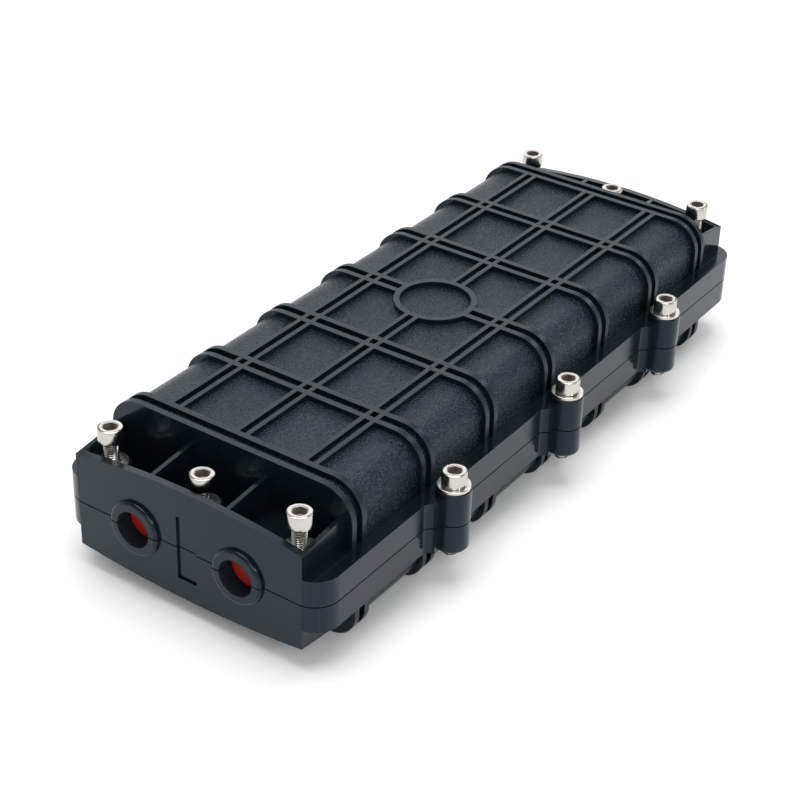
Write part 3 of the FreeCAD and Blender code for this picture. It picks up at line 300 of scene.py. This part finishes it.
def moulded_half(name, dome):
    """The plastic of the cover or the base."""
    shader = Shader(name)
    panel, crest, port = moulding_masks(shader, dome)

    grain = shader.noise(GRAIN_SIZE, detail=1.0, rough=0.6)
    pits = shader.cells(PIT_SIZE)
    relief = shader.math(
        "ADD",
        shader.math("MULTIPLY", grain, GRAIN_SHARE),
        shader.math("MULTIPLY", pits, PIT_SHARE),
    )
    fine = shader.bump(shader.noise(SKIN_SIZE, detail=2.0), SKIN_STRENGTH, SKIN_DEPTH)
    normal = shader.bump(relief, shader.math("MULTIPLY", panel, GRAIN_STRENGTH), GRAIN_DEPTH, fine)

    plain = varied(shader, PLASTIC, PATCH_SPREAD, PATCH_SIZE)
    # Painted highlight: the grain's peaks on the panels get a lighter colour in place of specular sparkle
    painted_glint = shader.math("MULTIPLY", panel, shader.ranged(grain, *PAINTED_GLINT_RANGE))
    with_painted_glints = shader.colours(painted_glint, plain, tint(PLASTIC, PAINTED_GLINT_TINT))
    # The rib crests are made a little lighter in colour
    lighter_crests = shader.colours(shader.math("MULTIPLY", crest, CREST_SHARE), with_painted_glints, tint(PLASTIC, CREST_TINT))

    gloss = shader.ranged(shader.noise(GLOSS_PATCH, detail=5.0), *NOISE_MIDDLE, *GLOSS_ROUGHNESS)
    dull = shader.ranged(grain, *NOISE_MIDDLE, *PANEL_ROUGHNESS)
    outer = shader.numbers(crest, shader.numbers(panel, gloss, dull), RIB_ROUGHNESS)
    rough = shader.numbers(port, outer, PORT_ROUGHNESS)
    return shader.set(
        Base_Color=lighter_crests,
        Roughness=rough,
        Normal=normal,
        Specular_IOR_Level=PLASTIC_SPECULAR,
        Specular_Tint=PLASTIC_GLINT,
    )


# Other finishes

METAL_PATCH = 6 * MM
METAL_TINTS = (0.90, 1.08)
METAL_ROUGHNESS = (0.75, 1.3)
BRUSH_STRENGTH = 0.10
BRUSH_DEPTH = 0.03 * MM

SOFT_PATCH = 14 * MM
SOFT_ROUGH_PATCH = 8 * MM
SOFT_ROUGHNESS = (0.85, 1.15)
SOFT_DEPTH = 0.08 * MM

CLEAR_IOR = 1.49
CLEAR_PATCH = 30 * MM
CLEAR_SPREAD = 0.02
CLEAR_HAZE_PATCH = 12 * MM
CLEAR_ROUGHNESS = (0.03, 0.10)


def metal(name, colour, rough, brush, stretch=EVEN):
    """Plated or brushed metal: fine lines of the given size, drawn out by stretch."""
    shader = Shader(name)
    lines = shader.noise(brush, rough=0.6, stretch=stretch)
    patches = shader.noise(METAL_PATCH, detail=4.0)
    blend = shader.math("ADD", shader.math("MULTIPLY", lines, 0.5), shader.math("MULTIPLY", patches, 0.5))
    smoother, rougher = METAL_ROUGHNESS
    darker, lighter = METAL_TINTS
    return shader.set(
        Metallic=1.0,
        Base_Color=shader.colours(blend, tint(colour, darker), tint(colour, lighter)),
        Roughness=shader.ranged(blend, *NOISE_MIDDLE, rough * smoother, rough * rougher),
        Normal=shader.bump(lines, BRUSH_STRENGTH, BRUSH_DEPTH),
    )


def soft(name, colour, rough, grain, strength, spread=0.12):
    """Moulded plastic or rubber with a fine skin."""
    shader = Shader(name)
    smoother, rougher = SOFT_ROUGHNESS
    patches = shader.noise(SOFT_ROUGH_PATCH, detail=4.0)
    return shader.set(
        Base_Color=varied(shader, colour, spread, SOFT_PATCH),
        Roughness=shader.ranged(patches, *NOISE_MIDDLE, rough * smoother, rough * rougher),
        Normal=shader.bump(shader.noise(grain), strength, SOFT_DEPTH),
    )


def clear_sheet(name):
    """Clear plastic with a faint haze."""
    shader = Shader(name)
    haze = shader.noise(CLEAR_HAZE_PATCH, detail=4.0)
    return shader.set(
        Transmission_Weight=1.0,
        IOR=CLEAR_IOR,
        Base_Color=varied(shader, CLEAR, CLEAR_SPREAD, CLEAR_PATCH),
        Roughness=shader.ranged(haze, *NOISE_MIDDLE, *CLEAR_ROUGHNESS),
    )


cover_plastic = moulded_half("cover_plastic", COVER_DOME)
base_plastic = moulded_half("base_plastic", BASE_DOME)
screw_steel = metal("screw_steel", BRIGHT_STEEL, rough=0.17, brush=0.5 * MM, stretch=(0.3, 0.3, 4.0))
# The sockets' steel is rougher, and its darker colour is painted shade
shaded_socket_steel = metal("shaded_socket_steel", SHADED_SOCKET_STEEL, rough=0.42, brush=0.5 * MM)
washer_steel = metal("washer_steel", BRIGHT_STEEL, rough=0.22, brush=0.7 * MM)
zinc_steel = metal("zinc_steel", ZINC, rough=0.30, brush=0.6 * MM)
sheet_steel = metal("sheet_steel", SHEET_STEEL, rough=0.34, brush=0.4 * MM, stretch=(0.04, 1.0, 1.0))
insert_brass = metal("insert_brass", BRASS, rough=0.26, brush=0.5 * MM, stretch=(0.3, 0.3, 3.0))
plug_rubber = soft("plug_rubber", RED_RUBBER, rough=0.52, grain=0.5 * MM, strength=0.20)
gasket_rubber = soft("gasket_rubber", BLACK_RUBBER, rough=0.70, grain=0.6 * MM, strength=0.30)
tray_plastic = soft("tray_plastic", TRAY_WHITE, rough=0.42, grain=0.4 * MM, strength=0.10, spread=0.03)
comb_plastic = soft("comb_plastic", COMB_BLUE, rough=0.45, grain=0.5 * MM, strength=0.12)
black_plastic = soft("black_plastic", SATIN_BLACK, rough=0.40, grain=0.4 * MM, strength=0.15)
lid_plastic = clear_sheet("lid_plastic")

finishes = {
    "upper_cover": cover_plastic,
    "lower_base": base_plastic,
    "sealing_gasket": gasket_rubber,
    "port_plug": plug_rubber,
    "side_washers": washer_steel,
    "end_washers": washer_steel,
    "side_screw": screw_steel,
    "end_screw": screw_steel,
    "side_inserts": insert_brass,
    "end_inserts": insert_brass,
    "tray_frame": sheet_steel,
    "frame_screws": zinc_steel,
    "saddle_screws": zinc_steel,
    "clamp_screws": zinc_steel,
    "strength_posts": zinc_steel,
    "hinge_pins": zinc_steel,
    "cable_saddle": black_plastic,
    "splice_tray": tray_plastic,
    "splice_comb": comb_plastic,
    "tray_lid": lid_plastic,
    "tray_studs": zinc_steel,
    "tray_nuts": black_plastic,
}


def finish_of(node):
    """The finish whose key is the start of the node's name."""
    return next(made for key, made in finishes.items() if node.startswith(key))


# Edges: the solids come with sharp ones. The overlap guard keeps the rounding to a hair on ribbed pieces

EDGE_WIDTHS = {"upper_cover": 0.6 * MM, "lower_base": 0.6 * MM, "tray_frame": 0.25 * MM}
USUAL_EDGE = 0.3 * MM
EDGE_SEGMENTS = 2
EDGE_ANGLE = math.radians(35)
FLAT_ANGLE = math.radians(0.5)
WELD_REACH = 0.002 * MM


def soften(piece, width):
    """Rounds the piece's edges, once its flat faces are whole."""
    weld = piece.modifiers.new("Weld", "WELD")
    weld.merge_threshold = WELD_REACH
    flats = piece.modifiers.new("Flats", "DECIMATE")
    flats.decimate_type = "DISSOLVE"
    flats.angle_limit = FLAT_ANGLE
    edges = piece.modifiers.new("Edges", "BEVEL")
    edges.width = width
    edges.segments = EDGE_SEGMENTS
    edges.limit_method = "ANGLE"
    edges.angle_limit = EDGE_ANGLE
    edges.use_clamp_overlap = True
    shade = piece.modifiers.new("Shade", "WEIGHTED_NORMAL")
    shade.keep_sharp = True


for name, piece in nodes.items():
    piece.data.materials.clear()
    piece.data.materials.append(finish_of(name))
    soften(piece, EDGE_WIDTHS.get(name, USUAL_EDGE))

# The clear lid lies on the tray: a hair of air keeps their faces from coinciding

LID_AIR = 0.06 * MM

air = nodes["tray_lid"].modifiers.new("Air", "DISPLACE")
air.strength = -LID_AIR
air.mid_level = 0.0

# Screws: head with a hex socket, shank with a real helical thread. Its profile: shares of a pitch, depths

RING_POINTS = 48
THREAD_POINTS = 24
THREAD_PROFILE = ((0.0, THREAD_DEPTH), (0.38, 0.0), (0.5, 0.0), (0.88, THREAD_DEPTH))
THREAD_ROWS = len(THREAD_PROFILE)
MOUTH_SHARE = 1.22
CROWN_IN, CROWN_DOWN = 0.35, 0.3
SMOOTH_ANGLE = math.radians(28)


def added(name, data):
    """A new object in the scene."""
    made = bpy.data.objects.new(name, data)
    bpy.context.scene.collection.objects.link(made)
    return made


def ring(radius, height, points=RING_POINTS):
    """A level circle of points. radius is a length or a function of the angle."""
    made = []
    for step in range(points):
        angle = 2 * math.pi * step / points
        reach = radius(angle) if callable(radius) else radius
        made.append(Vector((reach * math.cos(angle), reach * math.sin(angle), height)))
    return made


def hexagon(width):
    """The edge of a hexagon of that width across its flats, as a function of the angle."""
    sixth = math.pi / 3

    def reach(angle):
        return width / 2 / math.cos((angle + sixth / 2) % sixth - sixth / 2)

    return reach


def head(mesh, radius):
    """From the bearing face up over the crown, then down to the socket's floor in a rougher steel whose
    darker colour is painted shade.
    """
    top = HEAD_HEIGHT
    hex_edge = hexagon(SOCKET_WIDTH)
    outside = [
        ring(radius - FOOT_EDGE, 0.0),
        ring(radius, FOOT_EDGE),
        ring(radius, top - CROWN_EDGE),
        ring(radius - CROWN_EDGE * CROWN_IN, top - CROWN_EDGE * CROWN_DOWN),
        ring(radius - CROWN_EDGE, top),
    ]
    socket = [
        ring(SOCKET_WIDTH / 2 * MOUTH_SHARE, top),
        ring(hex_edge, top - SOCKET_MOUTH),
        ring(hex_edge, top - SOCKET_DEPTH),
        ring(SOCKET_WIDTH / 4, top - SOCKET_DEPTH - SOCKET_POINT),
    ]
    rows = [[mesh.verts.new(point) for point in one] for one in outside + socket]
    mesh.faces.new(list(reversed(rows[0])))
    for row, (low, high) in enumerate(zip(rows, rows[1:])):
        for step in range(RING_POINTS):
            after = (step + 1) % RING_POINTS
            face = mesh.faces.new((low[step], low[after], high[after], high[step]))
            face.material_index = int(row >= len(outside))
    mesh.faces.new(rows[-1]).material_index = 1


def thread(mesh, radius, length):
    """A helical thread hanging down from z = 0: rows that climb one pitch a turn, between two level rings."""
    turns = math.floor((length - THREAD_LEAD) / THREAD_PITCH) - 1
    rows = []
    for row in range(turns * THREAD_ROWS + 1):
        turn, part = divmod(row, THREAD_ROWS)
        pitch_share, depth = THREAD_PROFILE[part]
        verts = []
        for step in range(THREAD_POINTS):
            share = step / THREAD_POINTS
            height = THREAD_LEAD - length + (turn + pitch_share + share) * THREAD_PITCH
            taper = max(0.0, POINT_TAPER - (height + length))
            reach = radius - max(depth, taper)
            angle = 2 * math.pi * share
            verts.append(mesh.verts.new((reach * math.cos(angle), reach * math.sin(angle), height)))
        rows.append(verts)
    tip = [mesh.verts.new(point) for point in ring(radius - POINT_TAPER, -length, THREAD_POINTS)]
    root = [mesh.verts.new(point) for point in ring(radius, THREAD_ROOT, THREAD_POINTS)]

    bands = [tip] + rows + [root]
    for low, high in zip(bands, bands[1:]):
        for step in range(THREAD_POINTS - 1):
            mesh.faces.new((low[step], low[step + 1], high[step + 1], high[step]))
    for row in range(len(rows) - 1 - THREAD_ROWS):
        low, high = rows[row + THREAD_ROWS], rows[row + THREAD_ROWS + 1]
        mesh.faces.new((rows[row][-1], low[0], high[0], rows[row + 1][-1]))
    first_turn = [row[0] for row in rows[: THREAD_ROWS + 1]]
    last_turn = [row[-1] for row in rows[-THREAD_ROWS - 1 :]]
    mesh.faces.new([tip[-1], tip[0], *first_turn, rows[0][-1]])
    mesh.faces.new([rows[-1][0], root[0], root[-1], *reversed(last_turn)])
    mesh.faces.new(list(reversed(tip)))
    mesh.faces.new(root)


def detailed_screw(node):
    """Stands for a CAD screw, in the same place and of the same size."""
    low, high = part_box(node)
    axis = (low + high) / 2
    seat = high.z - HEAD_HEIGHT
    mesh = bmesh.new()
    head(mesh, (high.x - low.x) / 2)
    thread(mesh, SHANK_RADIUS, seat - low.z)
    bmesh.ops.translate(mesh, verts=mesh.verts, vec=(axis.x, axis.y, seat))
    bmesh.ops.recalc_face_normals(mesh, faces=mesh.faces)
    data = bpy.data.meshes.new(node + "_detail")
    mesh.to_mesh(data)
    mesh.free()
    data.shade_smooth()
    data.set_sharp_from_angle(angle=SMOOTH_ANGLE)
    data.materials.append(screw_steel)
    data.materials.append(shaded_socket_steel)
    piece = added(node + "_detail", data)
    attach(piece, node)
    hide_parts(node)


for name in nodes:
    if name.startswith(("side_screw", "end_screw")):
        detailed_screw(name)

# Studio: white floor that fades out into a world that is pale low down and dimmer higher up, soft lamps

FLOOR_FADE = (0.75, 1.30)
FLOOR_GAP = 0.2 * MM
FLOOR_PATCH = 0.6
FLOOR_SPREAD = 0.01
FLOOR_ROUGHNESS = 0.9
WORLD_LEVELS = ((0.0, 0.95), (0.20, 0.92), (0.36, 0.45), (0.60, 0.45), (0.80, 0.22), (1.0, 0.30))


def studio_floor():
    mesh = bmesh.new()
    bmesh.ops.create_grid(mesh, x_segments=1, y_segments=1, size=FLOOR_FADE[1])
    data = bpy.data.meshes.new("floor")
    mesh.to_mesh(data)
    mesh.free()
    floor = added("floor", data)
    floor.location.z = cad_box[0].z - FLOOR_GAP
    shader = Shader("floor_paper")
    away = shader.node("VectorMath", operation="LENGTH")
    shader.feed(away.inputs[0], shader.place())
    paper = shader.set(
        Base_Color=varied(shader, FLOOR_WHITE, FLOOR_SPREAD, FLOOR_PATCH),
        Roughness=FLOOR_ROUGHNESS,
        Specular_IOR_Level=0.0,
        Alpha=shader.fading(away.outputs["Value"], *FLOOR_FADE),
    )
    data.materials.append(paper)


def studio_world():
    """Grey by height: each level is a place between the horizon and straight up, and a brightness."""
    world = bpy.data.worlds.new("studio")
    world.use_nodes = True
    tree = world.node_tree
    split = tree.nodes.new("ShaderNodeSeparateXYZ")
    tree.links.new(tree.nodes.new("ShaderNodeTexCoord").outputs["Generated"], split.inputs[0])
    ramp = tree.nodes.new("ShaderNodeValToRGB")
    stops = ramp.color_ramp.elements
    while len(stops) < len(WORLD_LEVELS):
        stops.new(0.5)
    for stop, (place, level) in zip(stops, WORLD_LEVELS):
        stop.position = place
        stop.color = (level, level, level, 1.0)
    tree.links.new(split.outputs["Z"], ramp.inputs["Fac"])
    tree.links.new(ramp.outputs["Color"], tree.nodes["Background"].inputs["Color"])
    bpy.context.scene.world = world


def softbox(name, spot, side, power):
    """A square lamp that looks at the origin."""
    data = bpy.data.lights.new(name, "AREA")
    data.shape = "SQUARE"
    data.size = side
    data.energy = power
    lamp = added(name, data)
    lamp.location = spot
    lamp.rotation_mode = "QUATERNION"
    lamp.rotation_quaternion = (-Vector(spot)).to_track_quat("-Z", "Y")


studio_floor()
studio_world()
softbox("back", spot=(1.30, 0.95, 1.10), side=1.3, power=6.5)
softbox("glint", spot=(1.35, -0.50, 1.25), side=0.5, power=5.0)
softbox("overhead", spot=(-0.1, 0.1, 1.9), side=1.6, power=30.0)
softbox("front", spot=(-1.3, -1.1, 1.1), side=1.1, power=10.0)
softbox("side", spot=(-0.3, -1.4, 0.85), side=0.2, power=2.8)

# Camera at the photograph's place: solved from the ribs, rims and ports

CAMERA_SPOT = Vector((-763.4, -493.0, 591.8)) * MM
CAMERA_AIM = Vector((-36.1, -3.2, 39.3)) * MM
CAMERA_ROLL = math.radians(1.93)
CAMERA_LENS = 84.75
CAMERA_SENSOR = 36.0
CAMERA_CLIP = (0.01, 50.0)

camera_data = bpy.data.cameras.new("camera")
camera_data.lens = CAMERA_LENS
camera_data.sensor_width = CAMERA_SENSOR
camera_data.clip_start, camera_data.clip_end = CAMERA_CLIP
camera = added("camera", camera_data)
camera.location = CAMERA_SPOT
camera.rotation_mode = "QUATERNION"
aim = (CAMERA_AIM - CAMERA_SPOT).to_track_quat("-Z", "Y")
camera.rotation_quaternion = aim @ Quaternion((0.0, 0.0, 1.0), CAMERA_ROLL)
bpy.context.scene.camera = camera
bpy.context.scene.view_settings.view_transform = "Standard"
